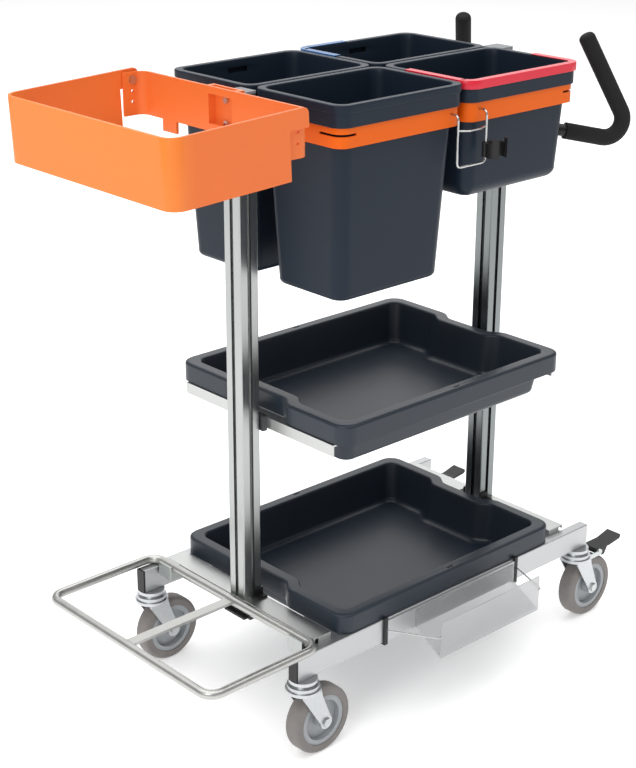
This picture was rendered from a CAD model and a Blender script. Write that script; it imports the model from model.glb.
# %% [markdown]
# # A janitor cart, dressed for a studio picture
#
# The cart's solids come from a CAD model and arrive here as a fixed frame: two slotted masts on a
# wheeled base, trays, buckets, a bag ring and push handles. This lesson gives every piece the
# finish that the real one has, rounds the edges that a moulding tool would round, and draws the
# buckets and trays anew with their fillets. Lengths are in metres, in the frame of the CAD model;
# only the profiles of the buckets and trays are written in millimetres.

# %% Load the frame
import math

import bmesh
import bpy
import numpy as np
from mathutils import Matrix, Vector


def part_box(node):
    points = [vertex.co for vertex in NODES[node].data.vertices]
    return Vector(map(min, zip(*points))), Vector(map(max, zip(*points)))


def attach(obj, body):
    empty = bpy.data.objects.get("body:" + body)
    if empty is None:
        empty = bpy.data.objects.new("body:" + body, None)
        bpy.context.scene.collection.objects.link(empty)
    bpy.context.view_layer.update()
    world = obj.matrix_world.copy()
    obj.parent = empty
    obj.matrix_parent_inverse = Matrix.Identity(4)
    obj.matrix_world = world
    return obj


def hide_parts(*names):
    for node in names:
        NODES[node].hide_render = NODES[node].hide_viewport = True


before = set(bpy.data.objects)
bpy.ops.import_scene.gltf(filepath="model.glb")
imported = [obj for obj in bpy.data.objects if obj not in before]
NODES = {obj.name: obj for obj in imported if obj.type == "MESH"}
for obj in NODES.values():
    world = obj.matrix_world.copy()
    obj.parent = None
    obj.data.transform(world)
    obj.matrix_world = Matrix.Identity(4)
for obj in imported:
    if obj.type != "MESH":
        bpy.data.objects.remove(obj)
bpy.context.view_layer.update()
scene = bpy.context.scene

# %% [markdown]
# ## The camera
#
# A product picture like this one is taken from a little above, with a long lens. A camera can be
# placed by eye, but one degree of error moves the far handle by many pixels, so the lens, the
# place and the three angles were found by matching the corners of the trays, the rails and the
# ring to the picture. A camera in Blender looks along its own -Z axis, so its matrix is made of
# the right, up and backward directions.

# %% Camera
PICTURE = (636, 768)
FOCAL_PIXELS = 1646.0
SENSOR = 36.0
FAR_CLIP = 30.0
YAW, PITCH, ROLL = (math.radians(a) for a in (-42.56, 21.36, -0.22))
EYE = Vector((-1.90676, -1.97666, 1.62708))

forward = Vector((
    -math.sin(YAW) * math.cos(PITCH),
    math.cos(YAW) * math.cos(PITCH),
    -math.sin(PITCH),
))
level_right = Vector((math.cos(YAW), math.sin(YAW), 0))
level_down = forward.cross(level_right)
right = math.cos(ROLL) * level_right + math.sin(ROLL) * level_down
up = right.cross(forward)
turn = Matrix((right, up, -forward)).transposed().to_4x4()

camera = bpy.data.objects.new("camera", bpy.data.cameras.new("camera"))
scene.collection.objects.link(camera)
camera.data.sensor_width = SENSOR
camera.data.lens = FOCAL_PIXELS * SENSOR / max(PICTURE)
camera.data.clip_end = FAR_CLIP
camera.matrix_world = Matrix.Translation(EYE) @ turn
scene.camera = camera
scene.view_settings.view_transform = "Standard"
print("lens", round(camera.data.lens, 2), "mm")

# %% [markdown]
# ## Shader arithmetic
#
# A finish is a small formula: a colour that drifts, a roughness that follows a grain. It could be
# wired node by node, but a formula written as Python is shorter to read and to change. `Value`
# wraps the output of a node, and arithmetic on it adds Math nodes.


# %% Values
class Value:
    """A number, colour or vector that a node gives out. Arithmetic on a number adds Math nodes."""

    def __init__(self, finish, socket):
        self.finish = finish
        self.socket = socket

    def arithmetic(self, operation, first, second):
        """What one Math node makes of two numbers, either of which may be a plain one."""
        return self.finish.node("ShaderNodeMath", {"operation": operation}, {0: first, 1: second})

    def __add__(self, other):
        return self.arithmetic("ADD", self, other)

    def __sub__(self, other):
        return self.arithmetic("SUBTRACT", self, other)

    def __rsub__(self, other):
        return self.arithmetic("SUBTRACT", other, self)

    def __mul__(self, other):
        return self.arithmetic("MULTIPLY", self, other)

    __radd__ = __add__
    __rmul__ = __mul__

    def span(self, low, high):
        """A number that goes from low to high as this value goes from 0 to 1."""
        return low + self * (high - low)

    def swing(self, spread):
        """A number that goes from minus to plus half the spread as this value goes from 0 to 1."""
        return (self - 0.5) * spread


# %% [markdown]
# `Finish` holds one material and makes every other node with one method. Patterns read the point
# on the piece itself, in metres: a piece has no unwrapped map to stretch, and the pattern moves
# with the piece when a joint turns.

# %% Finishes
# The colour sockets of a Mix node, which has a set of sockets for each type of data.
MIX_FACTOR, MIX_FIRST, MIX_SECOND, MIX_RESULT = 0, 6, 7, 2


class Finish:
    """One material with a single Principled shader.

    What is the same all over the surface is set on the shader's own sockets.
    """

    def __init__(self, name, **constants):
        self.material = bpy.data.materials.new(name)
        self.material.use_nodes = True
        self.tree = self.material.node_tree
        self.shader = self.tree.nodes["Principled BSDF"]
        self.set(**constants)

    def set(self, **sockets):
        """Sets or links sockets of the shader, with _ for a space in a socket's name."""
        for name, value in sockets.items():
            self.put(self.shader.inputs[name.replace("_", " ")], value)

    def put(self, socket, value):
        """Links a Value to a socket, or sets a plain number or colour on it."""
        if isinstance(value, Value):
            self.tree.links.new(value.socket, socket)
        elif isinstance(value, tuple) and len(value) == 3 and socket.type == "RGBA":
            socket.default_value = (*value, 1)
        else:
            socket.default_value = value

    def node(self, kind, settings=None, inputs=None, output=0):
        """Adds a node: first its settings, then the values or links of its sockets."""
        node = self.tree.nodes.new(kind)
        for name, setting in (settings or {}).items():
            setattr(node, name, setting)
        for key, value in (inputs or {}).items():
            self.put(node.inputs[key], value)
        return Value(self, node.outputs[output])

    def place(self, stretch=(1, 1, 1)):
        """A point of the piece in metres, stretched along each axis."""
        point = self.node("ShaderNodeTexCoord", output="Object")
        return self.node("ShaderNodeMapping", inputs={"Vector": point, "Scale": stretch})

    def noise(self, scale, detail=2.0, stretch=(1, 1, 1), rough=0.5):
        """Cloudy noise from 0 to 1, with about `scale` lumps to the metre."""
        inputs = {
            "Vector": self.place(stretch), "Scale": scale, "Detail": detail, "Roughness": rough,
        }
        return self.node("ShaderNodeTexNoise", inputs=inputs)

    def between(self, factor, first, second):
        """The colour that lies `factor` of the way from the first colour to the second."""
        inputs = {MIX_FACTOR: factor, MIX_FIRST: first, MIX_SECOND: second}
        return self.node("ShaderNodeMix", {"data_type": "RGBA"}, inputs, MIX_RESULT)

    def bump(self, height, depth, strength=1.0):
        """Shades the surface as if it were raised by `height` times `depth` metres."""
        inputs = {"Height": height, "Distance": depth, "Strength": strength}
        self.set(Normal=self.node("ShaderNodeBump", inputs=inputs))


# %% [markdown]
# ## The stage
#
# The picture has a plain white ground with a faint shadow. A backdrop could curve up behind the
# cart, but the camera looks down, so a wide pale floor alone fills the whole background. A large
# soft box overhead lights it evenly and leaves the upright walls darker than the rims, a smaller
# lamp on the left brings out the bag end of the cart, and one behind the cart is mirrored by the
# flat floors of the trays.

# %% Stage
FLOOR_SIZE = 40.0
FLOOR_GLOW = 0.36
SKY_LIGHT = 0.42
# The place of each lamp, the point that it looks at, its width and its power in watts.
LAMPS = {
    "overhead": ((0.4, 1.2, 6.0), (0.4, 1.2, 0), 9.0, 430),
    "left": ((-3.4, -1.4, 2.6), (0, 0, 0.7), 1.8, 38),
    "back": ((3.4, 3.7, 2.5), (0, 0, 0.5), 3.0, 28),
}


def soft_lamp(name, place, target, size, power):
    """A square lamp of that size that looks at the target."""
    lamp = bpy.data.objects.new(name, bpy.data.lights.new(name, "AREA"))
    lamp.data.size = size
    lamp.data.energy = power
    lamp.location = place
    view = Vector(target) - Vector(place)
    lamp.rotation_euler = view.to_track_quat("-Z", "Y").to_euler()
    scene.collection.objects.link(lamp)


def pale_floor():
    """A square at height 0, where the wheels touch it: four corners at half its size."""
    corner = np.array([(-1, -1, 0), (1, -1, 0), (1, 1, 0), (-1, 1, 0)]) * FLOOR_SIZE / 2
    mesh = bpy.data.meshes.new("floor")
    mesh.from_pydata(corner.tolist(), [], [(0, 1, 2, 3)])
    floor = bpy.data.objects.new("floor", mesh)
    scene.collection.objects.link(floor)
    finish = Finish("pale_floor", Base_Color=(0.95, 0.95, 0.95), Roughness=0.9)
    finish.set(Specular_IOR_Level=0.1)
    finish.set(Emission_Color=(1, 1, 1), Emission_Strength=FLOOR_GLOW)
    mesh.materials.append(finish.material)


def even_sky():
    """One grey all round."""
    world = bpy.data.worlds.new("sky")
    world.use_nodes = True
    background = world.node_tree.nodes["Background"]
    background.inputs["Color"].default_value = (1, 1, 1, 1)
    background.inputs["Strength"].default_value = SKY_LIGHT
    scene.world = world


even_sky()
pale_floor()
for name, lamp in LAMPS.items():
    soft_lamp(name, *lamp)
print("stage: floor", FLOOR_SIZE, "m, sky", SKY_LIGHT, "and", len(LAMPS), "lamps")

# %% [markdown]
# ## Moulded plastics
#
# The buckets and trays are injection moulded in a slate grey with a fine spark-eroded grain,
# which breaks up the gloss. The ring and the bucket frames are smoother and orange. A picture of
# the grain would show seams and repeats, so it is noise, at about a lump per half millimetre, and
# a slow drift in colour keeps wide walls from looking flat. The front wall of the ring is a
# little yellower than its sides.

# %% Moulded plastics
CLOUD_SCALE = 7.0
GRAIN_SWING, CLOUD_SWING = 0.16, 0.08
RING_FADE = 0.05


def shade(colour, share):
    """A colour with each of its parts multiplied by a share."""
    return tuple(part * share for part in colour)


def moulded(name, colour, gloss, grain=1800.0, depth=0.00006, drift=0.12, shine=0.4, front=None):
    """Plastic whose colour drifts a little and whose grain roughens its gloss.

    A colour for the front holds where the ring begins and fades out along X over RING_FADE.
    """
    finish = Finish(name, Specular_IOR_Level=shine)
    cloud = finish.noise(CLOUD_SCALE, detail=3.0)
    lumps = finish.noise(grain)
    base = finish.between(cloud, shade(colour, 1 - drift), shade(colour, 1 + drift))
    if front:
        x = finish.node("ShaderNodeSeparateXYZ", inputs={"Vector": finish.place()})
        base = finish.between((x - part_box("bag_ring")[0][0]) * (1 / RING_FADE), front, base)
    finish.set(Base_Color=base)
    finish.set(Roughness=1 - gloss + lumps.swing(GRAIN_SWING) + cloud.swing(CLOUD_SWING))
    finish.bump(lumps, depth)
    return finish.material


slate = moulded("slate_plastic", (0.012, 0.020, 0.034), gloss=0.60, shine=0.2)
tray_slate = moulded("tray_plastic", (0.018, 0.027, 0.040), gloss=0.66)
orange = moulded(
    "orange_plastic", (0.82, 0.130, 0.003), gloss=0.60,
    grain=900.0, depth=0.00003, drift=0.05, shine=0.2,
)
ring_orange = moulded(
    "ring_plastic", (0.84, 0.180, 0.038), gloss=0.62,
    grain=900.0, depth=0.00003, drift=0.05, shine=0.3, front=(0.88, 0.24, 0.034),
)
black = moulded("black_plastic", (0.012, 0.012, 0.013), gloss=0.55, depth=0.00004)
coated = moulded("black_coat", (0.010, 0.010, 0.011), gloss=0.62, grain=700.0, depth=0.00004)
cap_grey = moulded("cap_plastic", (0.23, 0.24, 0.25), gloss=0.5)
red = moulded("red_plastic", (0.72, 0.02, 0.045), gloss=0.7, depth=0.00002, drift=0.06)
blue = moulded("blue_plastic", (0.03, 0.13, 0.34), gloss=0.7, depth=0.00002, drift=0.06)
hub_grey = moulded("hub_plastic", (0.38, 0.40, 0.42), gloss=0.58, depth=0.00003, drift=0.05)
print("materials with the plastics:", len(bpy.data.materials))

# %% [markdown]
# ## Metals
#
# Extruded aluminium carries fine die lines along its length, so its noise is stretched along one
# axis and nearly constant along it; lines modelled in the mesh would be far too fine. Zinc
# plating is a mottled bright grey. Tube and wire are drawn steel. The tubes of the handles wear a
# black coat, which is made as a plastic above, because no metal shows through it.

# %% Metals
LINES_ACROSS, LINES_ALONG = 900.0, 3.0
LINE_DARK, SPOT_DARK = 0.86, 0.82


def extruded(name, along, colour, rough):
    """Aluminium with die lines along one axis: 0, 1 or 2 for X, Y or Z."""
    stretch = tuple(LINES_ALONG if axis == along else LINES_ACROSS for axis in range(3))
    finish = Finish(name, Metallic=1.0)
    lines = finish.noise(1.0, 3.0, stretch)
    haze = finish.noise(9.0)
    finish.set(Base_Color=finish.between(lines, shade(colour, LINE_DARK), colour))
    finish.set(Roughness=rough + lines.swing(0.14) + haze.swing(0.1))
    finish.bump(lines, depth=0.00002, strength=0.6)
    return finish.material


def plated(name, colour, rough, mottle=160.0):
    """Steel under a thin bright plating with a faint mottle."""
    finish = Finish(name, Metallic=1.0)
    spots = finish.noise(mottle, detail=4.0)
    finish.set(Base_Color=finish.between(spots, shade(colour, SPOT_DARK), colour))
    finish.set(Roughness=rough + spots.swing(0.16))
    finish.bump(finish.noise(900.0), depth=0.00001)
    return finish.material


mast_metal = extruded("mast_aluminium", 2, (0.48, 0.50, 0.49), rough=0.30)
rear_metal = extruded("rear_mast_aluminium", 2, (0.27, 0.29, 0.29), rough=0.30)
rail_metal = extruded("rail_aluminium", 0, (0.58, 0.59, 0.60), rough=0.42)
cross_metal = extruded("cross_aluminium", 1, (0.60, 0.61, 0.60), rough=0.36)
zinc = plated("zinc_plating", (0.64, 0.66, 0.67), rough=0.32)
tube_metal = plated("satin_tube", (0.56, 0.56, 0.54), rough=0.36, mottle=60.0)
wire = plated("drawn_wire", (0.66, 0.66, 0.66), rough=0.25)
dark_metal = plated("dark_metal", (0.11, 0.115, 0.12), rough=0.42)
print("materials with the metals:", len(bpy.data.materials))

# %% [markdown]
# ## Rubber, foam and clear plastic
#
# The tyres are grey rubber that picks up dust on the tread. The grips are closed-cell foam with
# fine pores. The trough is clear plastic with a light haze. It could be glass to the renderer,
# but a thin sheet hardly bends light, so part of the light passes straight through it instead.


# %% Rubber, foam and clear plastic
def tyre_rubber():
    """Grey rubber, a shade lighter and duller where cloudy dust lies on it."""
    finish = Finish("tyre_rubber")
    dust = finish.noise(40.0, detail=5.0, rough=0.6)
    finish.set(Base_Color=finish.between(dust, (0.17, 0.155, 0.148), (0.27, 0.25, 0.24)))
    finish.set(Roughness=dust.span(0.5, 0.8))
    finish.bump(finish.noise(700.0, detail=3.0), depth=0.00008)
    return finish.material


def grip_foam():
    """Black foam: pores are the dips of a fine cell pattern."""
    finish = Finish("grip_foam", Specular_IOR_Level=0.35)
    inputs = {"Vector": finish.place(), "Scale": 900.0}
    pores = finish.node("ShaderNodeTexVoronoi", {"feature": "F1"}, inputs)
    finish.set(Base_Color=finish.between(pores, (0.006, 0.006, 0.006), (0.016, 0.016, 0.017)))
    finish.set(Roughness=pores.span(0.78, 0.90))
    finish.bump(pores, depth=0.0002, strength=0.5)
    return finish.material


def clear_sheet():
    """Clear plastic with a milky haze that varies slowly."""
    finish = Finish("clear_plastic")
    haze = finish.noise(8.0, detail=1.0)
    finish.set(Base_Color=finish.between(haze, (0.50, 0.51, 0.52), (0.62, 0.63, 0.64)))
    finish.set(Roughness=haze.span(0.24, 0.34), Alpha=haze.span(0.40, 0.52))
    return finish.material


rubber = tyre_rubber()
foam = grip_foam()
clear = clear_sheet()
print("materials in all:", len(bpy.data.materials))

# %% [markdown]
# ## Each piece and its finish
#
# A piece of the CAD frame keeps its shape and takes a new material in its first slot. Most pieces
# share a finish by the kind of thing they are, so the list below is sorted by finish, and a
# change of finish is made in one place.

# %% Finishes on the frame
SIDES = ("near_front", "far_front", "near_rear", "far_rear")
FINISHES = {
    slate: [f"{side}_bucket" for side in SIDES],
    tray_slate: ["bottom_tray", "middle_tray"],
    orange: ["front_bucket_frame", "rear_bucket_frame", "frame_brackets"],
    ring_orange: ["bag_ring", "ring_bracket"],
    black: [
        "rail_end_caps", "mast_feet", "support_catch", "handle_sockets", "tool_clip",
        "tool_tray_clips", "near_rear_brake_pedal", "far_rear_brake_pedal",
    ],
    cap_grey: ["mast_caps"],
    red: ["red_rim_clip"],
    blue: ["blue_rim_clip"],
    hub_grey: [f"{side}_hub" for side in SIDES],
    rubber: [f"{side}_tyre" for side in SIDES],
    mast_metal: ["front_mast", "support_saddles"],
    rear_metal: ["rear_mast"],
    rail_metal: ["near_rail", "far_rail", "tool_tray_strip"],
    cross_metal: [
        "front_cross_profile", "rear_cross_profile", "front_tray_bracket", "rear_tray_bracket",
    ],
    zinc: [
        "caster_races", "frame_bolts", "ring_pins",
        *(f"{side}_{part}" for side in SIDES for part in ("fork", "axle")),
    ],
    tube_metal: ["bag_support_frame"],
    coated: ["handle_tubes"],
    wire: ["tool_hook_wire", "tool_tray_stays"],
    dark_metal: ["bracket_clamps"],
    foam: ["near_grip", "far_grip"],
    clear: ["tool_tray"],
}
for material, names in FINISHES.items():
    for name in names:
        NODES[name].data.materials.clear()
        NODES[name].data.materials.append(material)
print("finished", sum(len(names) for names in FINISHES.values()), "of", len(NODES))

# %% [markdown]
# ## Rounded edges
#
# No moulded or extruded edge is perfectly sharp: a small radius catches a line of light. The
# solids could carry it, but modifiers leave the CAD mesh as it is. A Weld modifier joins the
# loose triangles of a CAD piece and a Bevel modifier then rounds the edges that turn by more than
# a given angle, so flat faces and true curves stay as they are.

# %% Rounded edges
ROUNDING = {
    0.0016: ["bag_ring"],
    0.0008: [
        "near_rail", "far_rail", "front_cross_profile", "rear_cross_profile", "support_saddles",
        "mast_caps",
    ],
    0.0006: ["red_rim_clip", "blue_rim_clip"],
}
WELD_GAP = 0.00001
SHARP_ANGLE = math.radians(35)
ROUND_STEPS = 2


def round_edges(piece, width):
    """Rounds the edges that turn by more than SHARP_ANGLE, over a width to each side."""
    weld = piece.modifiers.new("weld", "WELD")
    weld.merge_threshold = WELD_GAP
    bevel = piece.modifiers.new("rounding", "BEVEL")
    bevel.limit_method = "ANGLE"
    bevel.angle_limit = SHARP_ANGLE
    bevel.width = width
    bevel.segments = ROUND_STEPS
    bevel.harden_normals = True


for width, names in ROUNDING.items():
    for name in names:
        round_edges(NODES[name], width)
print("rounded", sum(len(names) for names in ROUNDING.values()), "pieces")

# %% [markdown]
# ## Shells made from a profile and a plan
#
# A bucket and a tray are both a profile carried round a plan: the profile runs from the floor up
# the inside, over the rim, down the skirt, back under the rim and down the outside. Each point of
# it has an inset from the rim's edge, a height and a corner radius, so every ring is the same
# plan at another size and the grid of rings is the shell. Such a shell could also be extruded and
# subdivided by hand, but here each fillet has the radius that is written for it.

# %% Plan
CORNER_STEPS = 8
NO_DENT = (0, 0, 1)
END_SLACK = 0.001


def plan(half_x, half_y, radius, along, across, dent):
    """A rounded rectangle, anticlockwise from the -Y end of its +X side.

    `along` and `across` are the shares of the straight sides, from -1 to 1, at which a point
    lies. A dent is a depth, a half width and a step: the two ends move in by the depth within the
    half width, and a smooth curve of the step's length leads back on each side of it.
    """
    quarter = np.linspace(0, np.pi / 2, CORNER_STEPS + 1)
    arc = np.stack([np.cos(quarter), np.sin(quarter)], 1) * radius
    straight_x, straight_y = half_x - radius, half_y - radius
    run_x = np.stack([-along * straight_x, np.full(len(along), half_y)], 1)
    run_y = np.stack([np.full(len(across), half_x), across * straight_y], 1)
    next_arc = arc @ np.array([[0, 1], [-1, 0]])
    corner, next_corner = (straight_x, straight_y), (-straight_x, straight_y)
    points = np.concatenate([run_y, arc + corner, run_x, next_arc + next_corner])
    points = np.concatenate([points, -points])
    depth, half_width, step = dent
    t = np.clip((np.abs(points[:, 1]) - half_width) / step, 0, 1)
    near_end = np.abs(points[:, 0]) > half_x - radius - depth - END_SLACK
    points[:, 0] -= np.sign(points[:, 0]) * depth * (1 - t * t * (3 - 2 * t)) * near_end
    return points


def long_side(across):
    """The number of a ring's first point on its +Y side: it comes after a side and a corner."""
    return len(across) + CORNER_STEPS + 1


# %% [markdown]
# A profile is a list of runs. A straight run is a list of points, and a bend is a cubic curve
# between two points that leans towards their corner, which comes very close to an arc and also
# joins walls that don't stand square to each other.

# %% Profile
MM = 0.001
ROUND_SHARE = 0.5523


def fillet(start, corner, end, steps):
    """Profile points on a cubic curve from start to end.

    Its two middle handles lie ROUND_SHARE of the way from each end to the corner, as for a circle.
    """
    t = np.linspace(0, 1, steps + 1)[:, None]
    start, corner, end = (np.asarray(p, float) for p in (start, corner, end))
    a, b = start + (corner - start) * ROUND_SHARE, end + (corner - end) * ROUND_SHARE
    u = 1 - t
    return u ** 3 * start + 3 * u ** 2 * t * a + 3 * u * t ** 2 * b + t ** 3 * end


def joined(runs):
    """One row for each ring: its inset, height and corner radius.

    A run is its points and the corner radius at its first and last point, even in between.
    """
    return np.concatenate([
        np.column_stack([np.asarray(points), np.linspace(*radii, len(points))])
        for points, radii in runs
    ])


def carried(name, profile, along, across, side=1, dent=NO_DENT, spread=0):
    """The rings of a profile in millimetres, carried round the box of a CAD node.

    A side of -1 mirrors the plan, and a dent's half width grows by a spread of the inset.
    """
    low, high = (np.array(corner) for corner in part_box(name))
    half, centre = (high - low)[:2] / 2, (low + high)[:2] / 2
    depth, half_width, step = dent
    rings = []
    for inset, z, radius in profile * MM:
        ring_dent = (depth, half_width + spread * inset, step)
        flat = plan(*(half - inset), radius, along, across, ring_dent) * (1, side) + centre
        rings.append(np.column_stack([flat, np.full(len(flat), high[2] + z)]))
    return np.array(rings)


# %% [markdown]
# The grid of rings becomes a mesh with four points to a face and a cap at each end. A slot
# through a wall could be cut with a Boolean modifier, which leaves long thin triangles. It is
# simpler to leave out one cell of the inner wall and one of the outer wall and to join their
# edges by four faces.


# %% Shell
def shell(name, rings, holes):
    """A closed mesh from rings of equal count, its first and last ring capped.

    A hole is two rows of cells and a column: it runs through the wall between those two cells.
    """
    rows, count = rings.shape[:2]
    index = np.arange(rows * count).reshape(rows, count)
    after = np.roll(index, -1, 1)
    keep = np.ones((rows - 1, count), bool)
    bridges = []
    for row_a, row_b, column in holes:
        keep[row_a, column] = keep[row_b, column] = False
        first, second = index[:, column], after[:, column]
        bridges += [
            (first[row_a], second[row_a], second[row_b + 1], first[row_b + 1]),
            (second[row_a + 1], first[row_a + 1], first[row_b], second[row_b]),
            (first[row_a], first[row_b + 1], first[row_b], first[row_a + 1]),
            (second[row_a + 1], second[row_b], second[row_b + 1], second[row_a]),
        ]
    quads = np.stack([index[:-1], after[:-1], after[1:], index[1:]], -1)[keep]
    faces = quads.tolist() + bridges + [index[0][::-1].tolist(), index[-1].tolist()]
    mesh = bpy.data.meshes.new(name)
    mesh.from_pydata(rings.reshape(-1, 3).tolist(), [], faces)
    grid = bmesh.new()
    grid.from_mesh(mesh)
    bmesh.ops.recalc_face_normals(grid, faces=grid.faces)
    grid.to_mesh(mesh)
    grid.free()
    mesh.polygons.foreach_set("use_smooth", np.ones(len(mesh.polygons), bool))
    piece = bpy.data.objects.new(name, mesh)
    scene.collection.objects.link(piece)
    piece.modifiers.new("flat faces", "WEIGHTED_NORMAL")
    print(name, "rings", rows, "of", count, "points")
    return piece


def fitted(name, rings, holes, material):
    """A shell that stands for a CAD node, in its finish."""
    piece = shell(f"{name}_shell", rings, holes)
    piece.data.materials.append(material)
    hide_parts(name)
    return piece


# %% [markdown]
# ## Buckets
#
# The deep and the shallow buckets share one rim, so that either fits either frame. The rim has a
# round bead above a plain skirt, the tub tapers so that buckets nest, and a slot in the outer
# wall takes the fingers. The profile is written in millimetres from the rim's edge and the rim's
# top, and its walls are worked out from the depth, so one function draws both kinds.

# %% Buckets
BUCKET_ALONG = np.array([-0.75, -0.5, -0.2, 0.2, 0.5, 0.75])
BUCKET_ACROSS = np.array([-0.5, 0.0, 0.5])
FINGER_SLOT = (-13.5, -22.5)
SLOT_CELL = 2
DEEP_BUCKET, DEEP_TAPER = 325, 15
WALL_IN, WALL_OUT, FLOOR_THICK = 12.5, 10.0, 2.5
CORNER_IN, CORNER_OUT = 22, 24
FOOT_CORNER = 0.7
WALL_RINGS = (60, 120)
FOOT_ROUND = {"front": 11, "rear": 22}


def bucket_profile(depth, edge):
    """Inset, height and corner radius of each ring, in millimetres.

    The walls lean in by a fixed share of the depth on the way down to their rounded foot.
    """
    taper = DEEP_TAPER * depth / DEEP_BUCKET
    lean = taper / (depth - edge)
    levels = [-z * depth / DEEP_BUCKET for z in WALL_RINGS]

    def inside(z):
        """The inset of the inner wall, which grows evenly on the way down."""
        return WALL_IN - z * lean

    def outside(z):
        """The inset of the outer wall, which leans as the inner one does."""
        return WALL_OUT - z * lean

    floor, low = FLOOR_THICK - depth, -depth
    foot_in, foot_out = inside(floor + edge), outside(low + edge)
    inner_foot = fillet((foot_in + edge, floor), (foot_in, floor), (foot_in, floor + edge), 6)
    inner_wall = [(inside(z), z) for z in (*levels[::-1], *FINGER_SLOT[::-1], -6)]
    outer_wall = [(outside(z), z) for z in (-6, *FINGER_SLOT, *levels)]
    outer_foot = fillet((foot_out, low + edge), (foot_out, low), (foot_out + edge, low), 6)
    return joined([
        (inner_foot, (CORNER_IN - edge * FOOT_CORNER, CORNER_IN)),
        (inner_wall, (CORNER_IN, CORNER_IN)),
        # The rim: its inner edge, its bead, the skirt and the skirt's back.
        (fillet((12.5, -2), (12.5, 0), (10.5, 0), 3), (20, 18)),
        (fillet((2.4, 0), (0, 0), (0, -2.4), 4), (24, 26)),
        (fillet((0, -12), (0, -13), (1, -13), 2), (26, 25)),
        ([(2, -13.4), (2, -35)], (24, 24)),
        (fillet((2, -35), (2, -36), (3, -36), 2)[1:], (24, 23)),
        ([(4.5, -36), (4.5, -2.5), (10, -2.5)], (22, 22)),
        (outer_wall, (CORNER_OUT, CORNER_OUT)),
        (outer_foot, (CORNER_OUT, CORNER_OUT - edge * FOOT_CORNER)),
    ])


def bucket(name, edge, side):
    """A bucket in the box of its CAD node, its finger slot towards the outer side."""
    low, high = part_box(name)
    profile = bucket_profile((high[2] - low[2]) / MM, edge)
    rings = carried(name, profile, BUCKET_ALONG, BUCKET_ACROSS, side)
    top, foot = (np.flatnonzero(np.isclose(profile[:, 1], z)) for z in FINGER_SLOT)
    slot = (foot[0], top[1], long_side(BUCKET_ACROSS) + SLOT_CELL)
    return fitted(name, rings, [slot], slate)


for end, edge in FOOT_ROUND.items():
    for side, sign in (("near", -1), ("far", 1)):
        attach(bucket(f"{side}_{end}_bucket", edge, sign), f"{end}_bucket_{side}")

# %% [markdown]
# ## Trays
#
# A tray is a wide, shallow shell of the same kind. Its ends are dented so that it can stand close
# to the masts, and the dent runs out in a soft shoulder on each side. It could be pushed in with
# a lattice, but moving the points of the plan keeps the wall about as thick. A small
# drain slot sits in the rim at the middle of each long side.

# %% Trays
TRAY_ALONG = np.array([-0.9, -0.7, -0.4, -0.03, 0.03, 0.4, 0.7, 0.9])
TRAY_ACROSS = np.linspace(-0.96, 0.96, 41)
DRAIN = (12.0, 8.0)
DRAIN_CELL = 3
TRAY_DENT = (0.018, 0.046, 0.034)
DENT_SPREAD = 0.4


def tray_profile():
    """Inset, height and corner radius of each ring, in millimetres."""
    return joined([
        # The inner foot and wall.
        (fillet((46, -79), (35, -79), (34.5, -68), 6), (14, 22)),
        ([(31, -45), (27, -22), (24, -6)], (22, 21)),
        # The rim: its inner edge, its top, its outer edge, the skirt and the skirt's back.
        (fillet((23.4, -3), (23, 0), (20, 0), 4), (20, 20)),
        ([(DRAIN[0], 0), (DRAIN[1], 0)], (24, 25)),
        (fillet((5, 0), (0, 0), (0, -5), 5), (26, 28)),
        (fillet((0, -34.5), (0, -36), (1.5, -36), 3), (28, 27)),
        ([(3, -36), (3, -3), (DRAIN[1], -3), (DRAIN[0], -3), (20, -3)], (25, 22)),
        # The outer wall and foot.
        ([(23, -20), (27, -45)], (22, 22)),
        (fillet((31, -71), (32, -82), (43, -82), 6), (22, 14)),
    ])


def tray(name):
    """A tray in the box of its CAD node, dented at both ends."""
    profile = tray_profile()
    rings = carried(
        name, profile, TRAY_ALONG, TRAY_ACROSS, dent=TRAY_DENT, spread=DENT_SPREAD
    )
    inner, outer = (np.flatnonzero(np.isclose(profile[:, 0], inset)) for inset in DRAIN)
    column = long_side(TRAY_ACROSS) + DRAIN_CELL
    opposite = column + rings.shape[1] // 2
    drains = [(inner[0], outer[1], c) for c in (column, opposite)]
    return fitted(name, rings, drains, tray_slate)


for node, body in (("bottom_tray", "lower_tray"), ("middle_tray", "upper_tray")):
    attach(tray(node), body)
